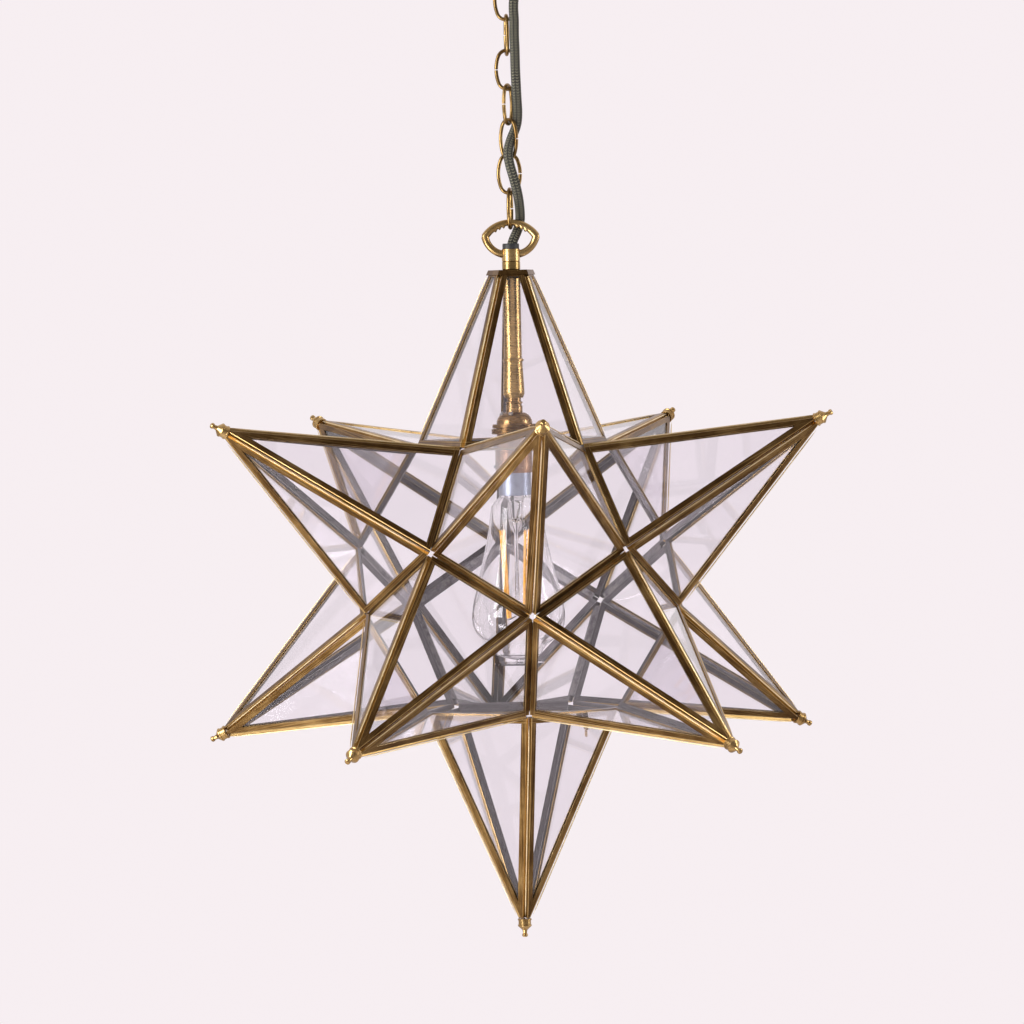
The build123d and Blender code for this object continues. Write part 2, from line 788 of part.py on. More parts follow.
vitrite = turned(
    [
        (0, cap_top),
        (vitrite_radius, cap_top),
        (vitrite_radius - 0.8, cap_top + vitrite_height - 0.4),
        (vitrite_radius - 1.4, cap_top + vitrite_height),
        (0, cap_top + vitrite_height),
    ]
)
save("lamp_insulator", hung([vitrite]))
contacts = [
    Pos(side * plunger_spacing / 2, 0, cap_top + vitrite_height)
    * extrude(Circle(contact_radius), amount=contact_height)
    for side in (-1, 1)
]


def bulb_profile(inset):
    """Points down the bulb's smooth outline, moved in along its normals."""
    line = Spline(*bulb_outline, tangents=[(0, -1), (-1, 0)])
    shares = [step / bulb_steps for step in range(bulb_steps + 1)]
    tangents = [line % share for share in shares]
    return [
        ((line @ share).X + inset * run.Y, (line @ share).Y - inset * run.X)
        for share, run in zip(shares, tangents)
    ]


outside, inside = bulb_profile(0), bulb_profile(bulb_wall)
outside[-1], inside[-1] = (0, outside[-1][1]), (0, inside[-1][1])
bulb = turned([*outside, *reversed(inside)])
save("bulb_glass", hung([bulb]))

neck_rise = bulb_outline[0][1]
neck_bore = bulb_outline[0][0] - bulb_wall - seat_gap
flare_foot = neck_rise - 7
mount = turned(
    [
        (0, mount_rod_foot_rise),
        (mount_rod_radius, mount_rod_foot_rise),
        (mount_rod_radius, mount_foot_rise - 2),
        (mount_radius - 1.6, mount_foot_rise),
        (mount_radius - 1.2, mount_foot_rise + 3),
        (mount_radius - 0.4, mount_foot_rise + 7),
        (mount_radius, flare_foot),
        (neck_bore, neck_rise - 1),
        (neck_bore, neck_rise),
        (neck_bore - bulb_wall, neck_rise),
        (mount_radius - bulb_wall, flare_foot),
        (mount_radius - bulb_wall - 0.8, mount_foot_rise + 8),
        (0, mount_foot_rise + 5),
    ]
)
save("lamp_mount", hung([mount]))


def round_at(azimuth, radius, rise):
    """A point at a radius and height, at an azimuth from the front."""
    return toward(azimuth) * radius + Vector(0, 0, rise)


filaments, leads = [], []
for azimuth in filament_azimuths:
    top, foot = round_at(azimuth, *filament_top), round_at(azimuth, *filament_foot)
    filaments.append(rod(filament_radius, foot, top))
    lead_top = round_at(azimuth, mount_radius + 0.2, mount_foot_rise + 9)
    leads.append(rod(lead_radius, top + Vector(0, 0, lead_drop), lead_top))
    lead_foot = round_at(azimuth, mount_rod_radius + lead_radius + seat_gap, mount_rod_foot_rise - 0.6)
    leads.append(rod(lead_radius, foot - Vector(0, 0, lead_drop), lead_foot))
save("lamp_filaments", hung(filaments))
save("lamp_wires", hung([*leads, *contacts]))

# ---- Chain ----
def make_link():
    """One oval link in the XZ plane, open at a butt joint halfway up its right side."""
    lean = atan2(link_end_centre, link_side_centre)
    open_turn = asin(link_joint_gap / 2 / link_side_radius)

    def side_place(turn, side=1):
        """A point on a long side, turned from level round that side's centre."""
        reach = link_side_radius * cos(turn) - link_side_centre
        return (side * reach, 0, link_side_radius * sin(turn))

    top = (0, 0, link_end_centre + link_end_radius)
    foot = (0, 0, -link_end_centre - link_end_radius)
    middle = (lean + open_turn) / 2
    side_up = ThreePointArc(side_place(open_turn), side_place(middle), side_place(lean))
    over = ThreePointArc(side_place(lean), top, side_place(lean, -1))
    side_down = ThreePointArc(side_place(lean, -1), side_place(0, -1), side_place(-lean, -1))
    under = ThreePointArc(side_place(-lean, -1), foot, side_place(-lean))
    side_back = ThreePointArc(side_place(-lean), side_place(-middle), side_place(-open_turn))
    path = Wire([edge for piece in (side_up, over, side_down, under, side_back) for edge in piece.edges()])
    section = Plane(origin=side_up @ 0, z_dir=side_up % 0) * Circle(link_wire_radius)
    return sweep(section, path=path)


for number, turn in enumerate(link_turns, start=1):
    link_z = first_link_z - link_pitch * (number - 1)
    save(f"chain_link_{number}", [Pos(0, 0, link_z) * Rot(0, 0, turn) * make_link()])


# ---- Ceiling fitting ----
def cup(inset):
    """The solid inside the rose's outline, less a wall."""
    radius, depth, rim = rose_radius - inset, rose_depth - inset, rose_rim
    shoulder = ThreePointArc(
        (radius, -rim), (radius - 0.2 * rose_radius, -0.66 * depth), (0.45 * radius, -depth)
    )
    outline = Polyline((0.45 * radius, -depth), (0, -depth), (0, 0), (radius, 0), (radius, -rim))
    return revolve(Plane.XZ * make_face(shoulder.edges() + outline.edges()), Axis.Z)


shank_hole = hook_wire_radius + seat_gap
rose = cup(0) - cup(rose_wall)
rose -= Pos(0, 0, -rose_depth) * Cylinder(shank_hole, 4 * rose_wall)
rose -= Pos(*bush_place, -rose_depth) * Cylinder(bush_thread_radius + seat_gap, 4 * rose_wall)
save("ceiling_rose", [rose])

plate = Pos(0, 0, -plate_thick) * extrude(
    RectangleRounded(plate_length, plate_width, plate_width / 3), amount=plate_thick
)
plate += Pos(0, 0, -plate_thick - boss_length) * extrude(Circle(boss_radius), amount=boss_length)
plate -= Pos(0, 0, -plate_thick - boss_length) * extrude(Circle(shank_hole), amount=boss_length)
for side in (-1, 1):
    plate -= Pos(side * plate_hole_spacing / 2) * Cylinder(plate_hole_radius, 4 * plate_thick)
save("ceiling_plate", [plate])

shank_top = -plate_thick - seat_gap
hook_start = hook_z + hook_rise
lead_middle = radians(hook_turn_in / 2)
turn_in, turn_out = radians(hook_turn_in), radians(-hook_turn_out)
halfway = (turn_in + turn_out) / 2


def hook_point(angle):
    """A point on the hook's round, at an angle from the back in the YZ plane."""
    return (0, hook_bend_radius * cos(angle), hook_z + hook_bend_radius * sin(angle))


shank_line = Line((0, 0, shank_top), (0, 0, hook_start))
lead_bend = ThreePointArc(
    (0, 0, hook_start),
    (0, hook_lead * (1 - cos(lead_middle)), hook_start - hook_lead * sin(lead_middle)),
    hook_point(turn_in),
)
hook_bend = ThreePointArc(hook_point(turn_in), hook_point(halfway), hook_point(turn_out))
hook_path = Wire([*shank_line.edges(), *lead_bend.edges(), *hook_bend.edges()])
hook = sweep(Plane(origin=(0, 0, shank_top), z_dir=(0, 0, -1)) * Circle(hook_wire_radius), path=hook_path)
save("ceiling_hook", [hook])


def nut(across_radius, height, bore):
    """A hexagon nut standing on Z = 0."""
    return extrude(RegularPolygon(across_radius, 6) - Circle(bore), amount=height)


boss_foot = -plate_thick - boss_length
hook_nuts = [
    Pos(0, 0, boss_foot - seat_gap - nut_height) * nut(nut_radius, nut_height, shank_hole),
    Pos(0, 0, -rose_depth + rose_wall + seat_gap) * nut(nut_radius, nut_height, shank_hole),
]

ferrule_top = -rose_depth - seat_gap
ferrule_foot = ferrule_top - ferrule_height
ferrule = turned(
    [
        (shank_hole, ferrule_top),
        (ferrule_radius, ferrule_top),
        (ferrule_radius, ferrule_top - ferrule_height / 2),
        (ferrule_radius - 1.6, ferrule_foot),
        (shank_hole, ferrule_foot),
    ]
)
save("rose_ferrule", [ferrule])

flange_top = -rose_depth - seat_gap
flange_foot = -rose_depth - bush_flange_height
bush = turned(
    [
        (flex_hole, bush_foot_z),
        (bush_nozzle_radius - 1, bush_foot_z),
        (bush_nozzle_radius, bush_foot_z + 1.5),
        (bush_nozzle_radius, flange_foot),
        (bush_flange_radius, flange_foot),
        (bush_flange_radius, flange_top),
        (bush_thread_radius, flange_top),
        (bush_thread_radius, flange_top + bush_thread_length),
        (flex_hole, flange_top + bush_thread_length),
    ]
)
save("rose_cord_bush", [Pos(*bush_place, 0) * bush])
bush_nut = nut(bush_flange_radius, bush_nut_height, bush_thread_radius + seat_gap)
save("rose_nuts", [*hook_nuts, Pos(*bush_place, -rose_depth + rose_wall + seat_gap) * bush_nut])

block_top = -plate_thick
block = Pos(block_offset, 0, block_top) * Box(*block_size, align=(Align.CENTER, Align.CENTER, Align.MAX))
block_foot = block_top - block_size[2]
entry_z = block_top - block_size[2] / 2
block_screws, tails = [], []
sheath_top = flange_top + bush_thread_length + 3
for number in (-1, 0, 1):
    entry_x = block_offset + number * block_entry_spacing
    block -= Pos(entry_x, 0, block_foot) * Cylinder(1.7, 8)
    block_screws.append(Pos(entry_x, 0, block_foot) * extrude(Circle(1.6), amount=2.5))
    leave_x, leave_y = bush_place[0] + 1.1 * number, bush_place[1] + 1.3 * abs(number)
    route = FilletPolyline(
        (leave_x, leave_y, sheath_top + seat_gap),
        (leave_x, leave_y, sheath_top + 9),
        (entry_x + 2, -17, sheath_top + 11),
        (entry_x, -17, entry_z),
        (entry_x, -block_size[1] / 2 - seat_gap, entry_z),
        radius=3,
    )
    tails.append(sweep(Plane(origin=route @ 0, z_dir=route % 0) * Circle(core_wire_radius), path=route))
sheath = Pos(*bush_place, bush_foot_z) * extrude(Circle(flex_radius), amount=sheath_top - bush_foot_z)
save("terminal_block", [block])
save("terminal_screws", block_screws)
save("rose_tails", [sheath, *tails])

# ---- Flexible cord ----
flex_free_rise = barrel_foot_rise + flex_free_height
stem_flex = Pos(0, 0, flex_end_rise) * extrude(Circle(flex_radius), amount=flex_free_rise - flex_end_rise)
save("stem_flex", hung([stem_flex]))

route_points = [
    Vector(0, 0, star_z + flex_free_rise),
    *(Vector(x, y, star_z + barrel_top_rise + rise) for x, y, rise in flex_route),
    Vector(*bush_place, bush_foot_z - flex_bush_lead),
    Vector(*bush_place, bush_foot_z),
]


def bend_radii(points):
    """For each corner of a route, 0.45 of the shorter run over the tangent of half the turn."""
    radii = []
    for before, here, after in zip(points, points[1:], points[2:]):
        turn = radians((here - before).get_angle(after - here))
        radii.append(0.45 * min((here - before).length, (after - here).length) / tan(turn / 2))
    return radii


radii = bend_radii(route_points)
flex_path = FilletPolyline(*route_points, radius=radii)
flex_section = Plane(origin=flex_path @ 0, z_dir=flex_path % 0) * Circle(flex_radius)
flex = sweep(flex_section, path=flex_path)
save("flex_cord", [flex])
print("cord bend radii", [round(radius, 1) for radius in radii])
swept_share = flex.volume / (pi * flex_radius**2 * flex_path.length)
print("cord length", round(flex_path.length, 1), "volume share", round(swept_share, 4))
print("star centre z", round(star_z, 2), "hook z", round(hook_z, 2), "pitch", round(link_pitch, 2))
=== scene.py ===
"""Looks of the moravian star pendant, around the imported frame.

Lengths are metres in the frame of the row: the ceiling is at z = 0, -Y is the front, +X is right.
Places that end in _rise are measured upwards from the star's centre.
"""
import json
import math

import bpy
import numpy as np
from mathutils import Matrix, Vector

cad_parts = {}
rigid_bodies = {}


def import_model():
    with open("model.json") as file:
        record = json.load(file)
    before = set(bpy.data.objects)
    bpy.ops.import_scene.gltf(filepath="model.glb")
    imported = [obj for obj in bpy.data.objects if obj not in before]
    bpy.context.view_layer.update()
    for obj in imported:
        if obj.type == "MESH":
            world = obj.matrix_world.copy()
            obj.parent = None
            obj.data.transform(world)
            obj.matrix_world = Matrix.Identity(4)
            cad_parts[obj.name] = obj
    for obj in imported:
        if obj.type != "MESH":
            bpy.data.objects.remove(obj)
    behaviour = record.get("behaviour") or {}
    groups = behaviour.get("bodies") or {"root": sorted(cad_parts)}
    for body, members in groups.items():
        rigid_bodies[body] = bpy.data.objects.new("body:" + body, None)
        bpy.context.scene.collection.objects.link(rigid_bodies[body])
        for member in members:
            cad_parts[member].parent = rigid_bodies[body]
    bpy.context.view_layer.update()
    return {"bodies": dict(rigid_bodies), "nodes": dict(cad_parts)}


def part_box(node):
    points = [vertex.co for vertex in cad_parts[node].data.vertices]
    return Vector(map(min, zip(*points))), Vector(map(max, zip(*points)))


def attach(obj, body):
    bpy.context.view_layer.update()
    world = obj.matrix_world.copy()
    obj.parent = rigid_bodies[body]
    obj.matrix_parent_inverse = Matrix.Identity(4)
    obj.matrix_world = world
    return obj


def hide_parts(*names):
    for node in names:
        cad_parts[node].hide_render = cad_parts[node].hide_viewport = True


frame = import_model()
scene = bpy.context.scene

MM = 0.001

# ---- Places taken from the frame ----
BULB_FOOT_RISE = -58.5 * MM
STAR_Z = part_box("bulb_glass")[0].z - BULB_FOOT_RISE
LINK_COUNT = 7
link_boxes = [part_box(f"chain_link_{number}") for number in range(1, LINK_COUNT + 1)]
LINK_Z = [(low.z + high.z) / 2 for low, high in link_boxes]

# ---- Camera, found from the star's points and the corners of its core in the photograph ----
CAMERA_AT = Vector((-336.9, -3957.8, -308.2)) * MM
CAMERA_TARGET = Vector((-2.9, 0.2, -436.6)) * MM
CAMERA_UP = Vector((0.02344, 0.03044, 0.99926))
CAMERA_LENS = 204.7     # millimetres, as is the sensor
CAMERA_SENSOR = 36.0


def set_camera():
    """A long lens a little above the star's middle, turned to the photograph's slight tilt."""
    data = bpy.data.cameras.new("camera")
    data.lens = CAMERA_LENS
    data.sensor_width = CAMERA_SENSOR
    data.clip_start, data.clip_end = 0.1, 50.0
    camera = bpy.data.objects.new("camera", data)
    scene.collection.objects.link(camera)
    back = (CAMERA_AT - CAMERA_TARGET).normalized()
    right = CAMERA_UP.cross(back).normalized()
    up = back.cross(right)
    turn = Matrix((right, up, back)).transposed().to_4x4()
    camera.matrix_world = Matrix.Translation(CAMERA_AT) @ turn
    scene.camera = camera


set_camera()


# ---- Meshes from grids of points ----
def grid_faces(rows, columns):
    """Quads between neighbouring rows and columns of a grid, its last column joined to the first."""
    row, column = np.meshgrid(np.arange(rows - 1), np.arange(columns), indexing="ij")
    beside = (column + 1) % columns
    here, above = row * columns, (row + 1) * columns
    return np.stack((here + column, here + beside, above + beside, above + column), axis=-1).reshape(-1, 4)


def grid_piece(name, points):
    """A closed tube from a grid of points, rows along it and columns round it, with a fan over each end."""
    rows, columns = points.shape[:2]
    faces = grid_faces(rows, columns).tolist()
    ends = np.stack([points[0].mean(axis=0), points[-1].mean(axis=0)])
    places = np.concatenate([points.reshape(-1, 3), ends])
    column = np.arange(columns)
    beside = (column + 1) % columns
    last_row = (rows - 1) * columns
    foot_end, top_end = np.full(columns, rows * columns), np.full(columns, rows * columns + 1)
    faces += np.stack([beside, column, foot_end], axis=-1).tolist()
    faces += np.stack([last_row + column, last_row + beside, top_end], axis=-1).tolist()
    mesh = bpy.data.meshes.new(name)
    mesh.from_pydata(places.tolist(), [], faces)
    mesh.polygons.foreach_set("use_smooth", np.ones(len(mesh.polygons), bool))
    mesh.update()
    piece = bpy.data.objects.new(name, mesh)
    scene.collection.objects.link(piece)
    return piece


def swept_rings(path, radius, columns, reference):
    """Rings round a path: each place is its centre plus the radius times the cosine of the turn sideways
    and the sine of the turn upwards, both square to the path."""
    run = np.gradient(path, axis=0)
    run /= np.linalg.norm(run, axis=1, keepdims=True)
    side = np.cross(run, np.asarray(reference, float))
    side /= np.linalg.norm(side, axis=1, keepdims=True)
    top = np.cross(run, side)
    turn = np.linspace(0, 2 * math.pi, columns, endpoint=False)
    spokes = np.cos(turn)[None, :, None] * side[:, None, :] + np.sin(turn)[None, :, None] * top[:, None, :]
    radius = np.asarray(radius, float).reshape(-1, 1, 1)
    return path[:, None, :] + radius * spokes


# ---- Nodes of the materials ----
class Finish:
    """A node material whose surface is one Principled shader."""

    def __init__(self, name):
        self.material = bpy.data.materials.new(name)
        self.material.use_nodes = True
        self.tree = self.material.node_tree
        self.shader = self.tree.nodes["Principled BSDF"]
        self.output = self.tree.nodes["Material Output"]

    def node(self, kind, **values):
        made = self.tree.nodes.new(kind)
        for key, value in values.items():
            setattr(made, key, value)
        return made

    def link(self, start, end):
        self.tree.links.new(start, end)

    def place(self):
        """The object's own coordinates, in metres."""
        return self.node("ShaderNodeTexCoord").outputs["Object"]

    def noise(self, scale, detail=4.0, roughness=0.55, stretch=None, source=None):
        """Noise on the object's coordinates or on a vector, stretched along an axis if asked."""
        texture = self.node("ShaderNodeTexNoise")
        texture.inputs["Scale"].default_value = scale
        texture.inputs["Detail"].default_value = detail
        texture.inputs["Roughness"].default_value = roughness
        source = source or self.place()
        if stretch is not None:
            mapping = self.node("ShaderNodeMapping")
            mapping.inputs["Scale"].default_value = stretch
            self.link(source, mapping.inputs["Vector"])
            source = mapping.outputs["Vector"]
        self.link(source, texture.inputs["Vector"])
        return texture.outputs["Fac"]

    def ramp(self, source, stops):
        """A colour ramp; stops are (position, colour)."""
        node = self.node("ShaderNodeValToRGB")
        elements = node.color_ramp.elements
        while len(elements) < len(stops):
            elements.new(0.5)
        for element, (position, colour) in zip(elements, stops):
            element.position = position
            element.color = (*colour, 1.0)
        self.link(source, node.inputs["Fac"])
        return node.outputs["Color"]

    def span(self, source, low, high, to_low=0.0, to_high=1.0):
        """Map a value from one range to another, held at its ends."""
        node = self.node("ShaderNodeMapRange")
        for key, value in (("From Min", low), ("From Max", high), ("To Min", to_low), ("To Max", to_high)):
            node.inputs[key].default_value = value
        self.link(source, node.inputs["Value"])
        return node.outputs["Result"]

    def mix(self, share, first, second):
        """Mix two colours, each a socket or a colour."""
        node = self.node("ShaderNodeMix", data_type="RGBA")
        self.link(share, node.inputs["Factor"])
        for socket, value in ((node.inputs[6], first), (node.inputs[7], second)):
            if isinstance(value, bpy.types.NodeSocket):
                self.link(value, socket)
            else:
                socket.default_value = (*value, 1.0)
        return node.outputs[2]

    def vector(self, operation, first, second=None):
        """One Vector Math node on sockets or vectors; a dot product gives its number."""
        node = self.node("ShaderNodeVectorMath", operation=operation)
        for socket, value in zip(node.inputs, (first, second)):
            if value is None:
                continue
            if isinstance(value, bpy.types.NodeSocket):
                self.link(value, socket)
            else:
                socket.default_value = value
        return node.outputs["Value" if operation == "DOT_PRODUCT" else "Vector"]

    def maths(self, operation, first, second=None):
        """One Math node on sockets or numbers."""
        node = self.node("ShaderNodeMath", operation=operation)
        for socket, value in zip(node.inputs, (first, second)):
            if value is None:
                continue
            if isinstance(value, bpy.types.NodeSocket):
                self.link(value, socket)
            else:
                socket.default_value = value
        return node.outputs[0]

    def bump(self, height, strength, distance):
        """Raise the surface by a height, at a strength, with distance in metres."""
        node = self.node("ShaderNodeBump")
        node.inputs["Strength"].default_value = strength
        node.inputs["Distance"].default_value = distance
        self.link(height, node.inputs["Height"])
        self.link(node.outputs["Normal"], self.shader.inputs["Normal"])

    def set(self, **values):
        """Set sockets of the shader by name, with underscores for spaces."""
        for key, value in values.items():
            socket = self.shader.inputs[key.replace("_", " ")]
            socket.default_value = (*value, 1.0) if isinstance(value, tuple) and len(value) == 3 else value


# ---- The star's points ----
POINT_REACH = 244.0 * MM   # from the centre to the apex of a point
CORE_REACH = 91.31 * MM    # from the centre to the plane of a point's foot
RING_RISE = 1 / math.sqrt(5)


def toward(azimuth, rise):
    """The direction of a point: azimuth in degrees from the front towards the right, and its rise."""
    level = math.sqrt(1 - rise * rise)
    turn = math.radians(azimuth)
    return Vector((level * math.sin(turn), -level * math.cos(turn), rise))


POINT_AXES = {"top": Vector((0, 0, 1)), "door": Vector((0, 0, -1))}
for ring in range(5):
    POINT_AXES[f"upper_{ring + 1}"] = toward(72 * ring, RING_RISE)
    POINT_AXES[f"lower_{ring + 1}"] = toward(36 + 72 * ring, -RING_RISE)

# ---- Brass ----
BRASS_PALE = (0.60, 0.44, 0.21)
BRASS_LIGHT = (0.44, 0.285, 0.110)
BRASS_MID = (0.245, 0.155, 0.055)
BRASS_BROWN = (0.125, 0.064, 0.019)
BRASS_DEEP = (0.042, 0.023, 0.009)
TINNED = (0.180, 0.168, 0.172)
TINNED_DARK = (0.055, 0.052, 0.056)


def brass(name, tones, roughness, lines=(1.0, 1.0, 1.0), bump=0.05, share=0.4):
    """Aged brass: cloudy patina, with fine tool lines in its roughness and its bump."""
    finish = Finish(name)
    cloud = finish.noise(55.0, 5.0, 0.6)
    scratch = finish.noise(2400.0, 2.0, 0.55, lines)
    clouded = finish.maths("MULTIPLY", cloud, 1 - share)
    blend = finish.maths("ADD", clouded, finish.maths("MULTIPLY", scratch, share))
    deep, mid, light = tones
    colour = finish.ramp(blend, [(0.34, deep), (0.50, mid), (0.66, light)])
    finish.link(colour, finish.shader.inputs["Base Color"])
    shine = finish.span(scratch, 0.3, 0.7, roughness - 0.05, roughness + 0.08)
    finish.link(shine, finish.shader.inputs["Roughness"])
    finish.bump(scratch, bump, 0.00005)
    finish.set(Metallic=1.0)
    return finish.material


PANE_TILT = 0.3467           # cosine between a point's axis and the outward normal of its panes
FOOT_BAR_RISE = 95.2 * MM    # top of the bars along a point's foot
SIDE_WALL_TURN = (0.02, 0.06)      # how far a side wall's normal turns away from a pane's, as a cosine
INWARD_REACH = (-0.050, -0.066)    # place along the normal from the star's centre, on faces that look inwards


def came_brass(name, axis):
    """The channels of one point: drawn lines that run along each bar, brown on the outer faces, paler on
    the side walls and chamfers as a painted highlight, and tinned grey where the solder ran on the faces that
    look inwards."""
    finish = Finish(name)
    centre = Vector((0.0, 0.0, STAR_Z))
    from_apex = finish.vector("SUBTRACT", finish.place(), centre + axis * POINT_REACH)
    from_centre = finish.vector("SUBTRACT", finish.place(), centre)
    ridge_lines = finish.noise(330.0, 3.0, 0.6, source=finish.vector("NORMALIZE", from_apex))
    rise = finish.vector("DOT_PRODUCT", from_centre, axis)
    foot_lines = finish.node("ShaderNodeTexNoise", noise_dimensions="1D")
    foot_lines.inputs["Scale"].default_value = 1900.0
    foot_lines.inputs["Detail"].default_value = 3.0
    finish.link(rise, foot_lines.inputs["W"])
    on_ridge = finish.span(rise, FOOT_BAR_RISE, FOOT_BAR_RISE + 0.4 * MM)
    lines = finish.node("ShaderNodeMix", data_type="FLOAT")
    finish.link(on_ridge, lines.inputs["Factor"])
    finish.link(foot_lines.outputs["Fac"], lines.inputs[2])
    finish.link(ridge_lines, lines.inputs[3])
    drawn = lines.outputs[0]
    cloud = finish.noise(32.0, 5.0, 0.6)
    tone = finish.maths("ADD", finish.maths("MULTIPLY", drawn, 0.62), finish.maths("MULTIPLY", cloud, 0.38))
    normal = finish.node("ShaderNodeTexCoord").outputs["Normal"]
    tilt = finish.maths("SUBTRACT", finish.vector("DOT_PRODUCT", normal, axis), PANE_TILT)
    # Painted highlight: side walls and chamfers, whose normals turn away from the pane's, get a paler copy of
    # the brass.
    side = finish.span(finish.maths("ABSOLUTE", tilt), *SIDE_WALL_TURN)
    face_colour = finish.ramp(tone, [(0.36, BRASS_DEEP), (0.50, BRASS_BROWN), (0.64, BRASS_LIGHT)])
    highlight_side_colour = finish.ramp(tone, [(0.34, BRASS_MID), (0.50, BRASS_LIGHT), (0.66, BRASS_PALE)])
    warm = finish.mix(side, face_colour, highlight_side_colour)
    inward = finish.span(finish.vector("DOT_PRODUCT", from_centre, normal), *INWARD_REACH)
    tin = finish.ramp(tone, [(0.36, TINNED_DARK), (0.60, TINNED)])
    finish.link(finish.mix(inward, warm, tin), finish.shader.inputs["Base Color"])
    finish.link(finish.span(drawn, 0.3, 0.7, 0.24, 0.40), finish.shader.inputs["Roughness"])
    finish.bump(drawn, 0.10, 0.00010)
    finish.set(Metallic=1.0)
    return finish.material


def solder():
    """Tarnished solder, lumpy and half dull."""
    finish = Finish("solder")
    lumps = finish.noise(260.0, 5.0, 0.6)
    colour = finish.ramp(lumps, [(0.3, TINNED_DARK), (0.5, TINNED), (0.72, (0.30, 0.29, 0.26))])
    finish.link(colour, finish.shader.inputs["Base Color"])
    finish.link(finish.span(lumps, 0.3, 0.7, 0.50, 0.32), finish.shader.inputs["Roughness"])
    finish.bump(lumps, 0.5, 0.0005)
    finish.set(Metallic=1.0)
    return finish.material


# ---- Glass ----
def clear_glass(name, tint, roughness_high, streak_scale):
    """Clear glass that lets the lamps' light through, with faint wipe marks in its roughness."""
    finish = Finish(name)
    finish.set(Base_Color=tint, Transmission_Weight=1.0, IOR=1.47)
    marks = finish.noise(streak_scale, 4.0, 0.6)
    finish.link(finish.span(marks, 0.52, 0.8, 0.0, roughness_high), finish.shader.inputs["Roughness"])
    passing = finish.node("ShaderNodeBsdfTransparent")
    passing.inputs["Color"].default_value = (*tint, 1.0)
    ray = finish.node("ShaderNodeLightPath")
    mixed = finish.node("ShaderNodeMixShader")
    finish.link(ray.outputs["Is Shadow Ray"], mixed.inputs["Fac"])
    finish.link(finish.shader.outputs["BSDF"], mixed.inputs[1])
    finish.link(passing.outputs["BSDF"], mixed.inputs[2])
    finish.link(mixed.outputs["Shader"], finish.output.inputs["Surface"])
    return finish.material


# ---- Other finishes ----
def plain(name, colour, roughness, metallic=0.0, grain=300.0, vary=0.25, bump=0.1):
    """A finish with a fine grain: its colour and roughness vary a little, and it has a slight bump."""
    finish = Finish(name)
    grain_value = finish.noise(grain, 4.0, 0.6)
    dark = tuple(channel * (1 - vary) for channel in colour)
    light = tuple(min(1.0, channel * (1 + vary)) for channel in colour)
    finish.link(finish.ramp(grain_value, [(0.3, dark), (0.7, light)]), finish.shader.inputs["Base Color"])
    low, high = max(0.02, roughness - 0.06), roughness + 0.08
    finish.link(finish.span(grain_value, 0.3, 0.7, low, high), finish.shader.inputs["Roughness"])
    finish.bump(grain_value, bump, 0.0001)
    finish.set(Metallic=metallic)
    return finish.material


BRAID_COLUMNS = 7           # pairs of slanting columns round the cord
BRAID_PITCH = 1.9 * MM      # from one yarn to the next along the cord
YARN_SLANT = 1.3            # in pitches, across half a column


def braided_cotton():
    """Herringbone braid on the piece's own map, u once round and v in metres along: pale ends of yarn slant
    one way in one column and the other way in the next, over dark cotton."""
    finish = Finish("braided_cotton")
    split = finish.node("ShaderNodeSeparateXYZ")
    finish.link(finish.node("ShaderNodeUVMap", uv_map="braid").outputs["UV"], split.inputs["Vector"])
    column = finish.maths("FRACT", finish.maths("MULTIPLY", split.outputs["X"], float(BRAID_COLUMNS)))
    fold = finish.maths("ABSOLUTE", finish.maths("SUBTRACT", column, 0.5))
    step = finish.maths("MULTIPLY", split.outputs["Y"], 1 / BRAID_PITCH)
    place = finish.maths("FRACT", finish.maths("ADD", step, finish.maths("MULTIPLY", fold, YARN_SLANT)))
    yarn = finish.maths("ABSOLUTE", finish.maths("SUBTRACT", place, 0.5))
    fuzz = finish.noise(2600.0, 3.0, 0.7)
    tone = finish.maths("ADD", finish.maths("MULTIPLY", yarn, 1.7), finish.maths("MULTIPLY", fuzz, 0.30))
    # Painted shade: the tone darkens to 0.15 of itself in the crease where two columns meet.
    furrow_shade = finish.span(fold, 0.02, 0.16, 0.15, 1.0)
    tone = finish.maths("MULTIPLY", tone, furrow_shade)
    stops = [(0.42, (0.007, 0.007, 0.005)), (0.66, (0.026, 0.026, 0.018)), (0.88, (0.27, 0.25, 0.17))]
    finish.link(finish.ramp(tone, stops), finish.shader.inputs["Base Color"])
    finish.bump(tone, 0.8, 0.0004)
    finish.set(Roughness=0.85, Sheen_Weight=0.15, Sheen_Roughness=0.5)
    return finish.material


def cotton_sheath():
    """The same cotton where the cord is out of sight inside the stem and the rose."""
    return plain("cotton_sheath", (0.07, 0.07, 0.045), 0.85, grain=1800.0, vary=0.5, bump=0.5)


def filament_yellow():
    """Phosphor coat of a filament, unlit."""
    finish = Finish("filament_yellow")
    coat = finish.noise(700.0, 3.0, 0.6)
    colour = finish.ramp(coat, [(0.3, (0.66, 0.27, 0.012)), (0.7, (0.90, 0.47, 0.04))])
    finish.link(colour, finish.shader.inputs["Base Color"])
    finish.set(Roughness=0.55)
    return finish.material


RINGS = (0.04, 0.04, 1.0)  # tool lines round an upright axis
turned = brass("turned_brass", (BRASS_BROWN, BRASS_LIGHT, BRASS_PALE), 0.24)
stem_brass = brass("stem_brass", (BRASS_MID, (0.34, 0.225, 0.085), BRASS_LIGHT), 0.27, RINGS, 0.002, 0.12)
cap_brass = brass("cap_brass", (BRASS_DEEP, BRASS_BROWN, BRASS_MID), 0.28)
cast_brass = brass("cast_brass", (BRASS_MID, BRASS_LIGHT, BRASS_PALE), 0.28)
